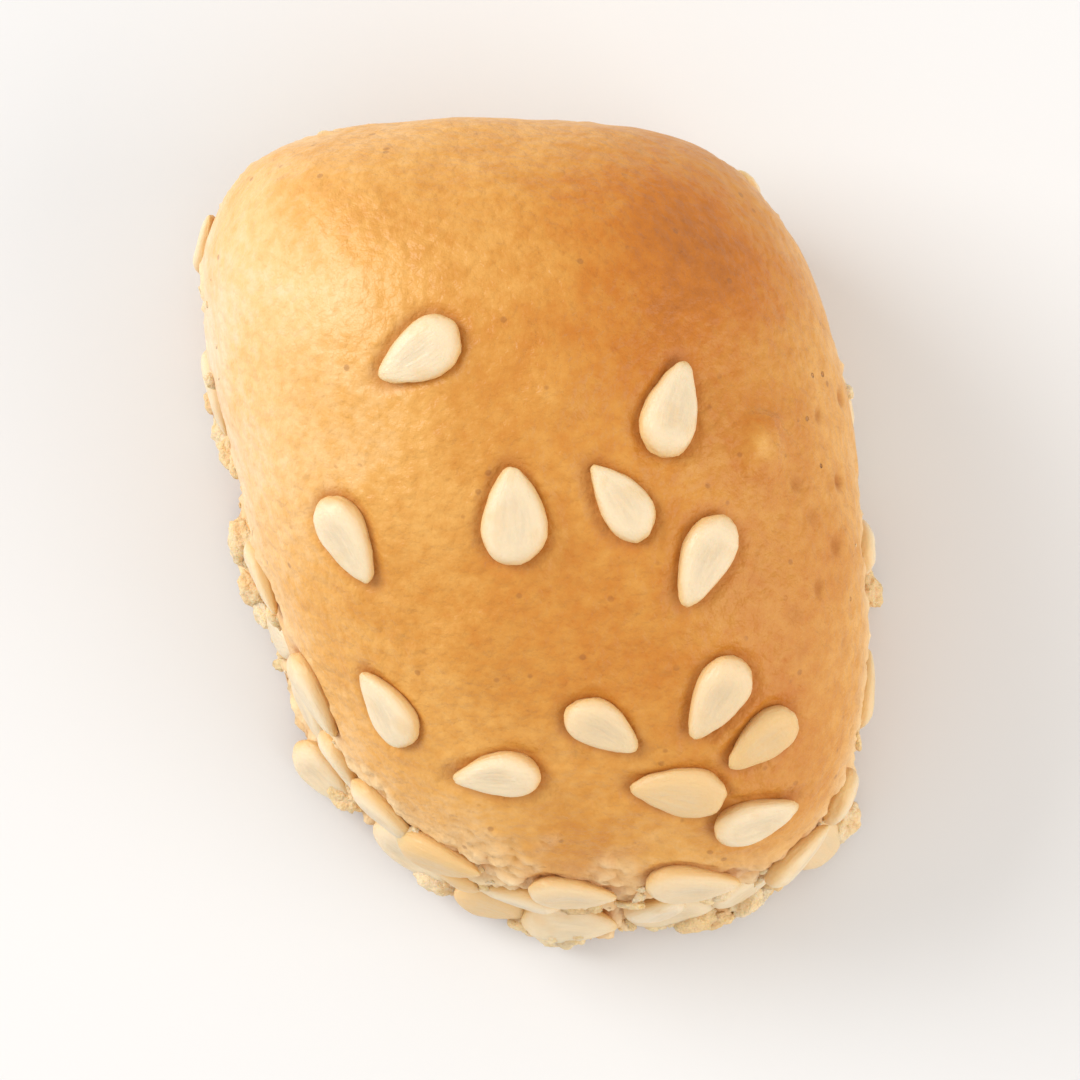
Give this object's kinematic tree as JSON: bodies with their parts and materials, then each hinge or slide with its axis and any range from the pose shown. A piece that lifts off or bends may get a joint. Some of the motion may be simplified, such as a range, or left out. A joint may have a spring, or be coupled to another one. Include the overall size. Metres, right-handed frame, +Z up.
{
  "type": "kaak biscuit",
  "caption": "Bite-size kaak biscuit: a slant-cut pillow of baked dough with a domed crust, a flat underside with a crumbly foot, and sesame seeds crowded at one end",
  "frame": {"origin": "on the flat underside, under the middle of the whole piece", "axes": "+Z up from the underside to the crown, +Y along the biscuit from its seeded end to its broad bare end, +X to the right seen from above"},
  "size_m": [0.0232, 0.0278, 0.0154],
  "materials": {
    "crust": "baked golden crust, soft low gloss, stands in for dough",
    "sesame": "ivory sesame seed, satin"
  },
  "bodies": {
    "root": {"kaak_biscuit": "crust"}
  },
  "joints": []
}
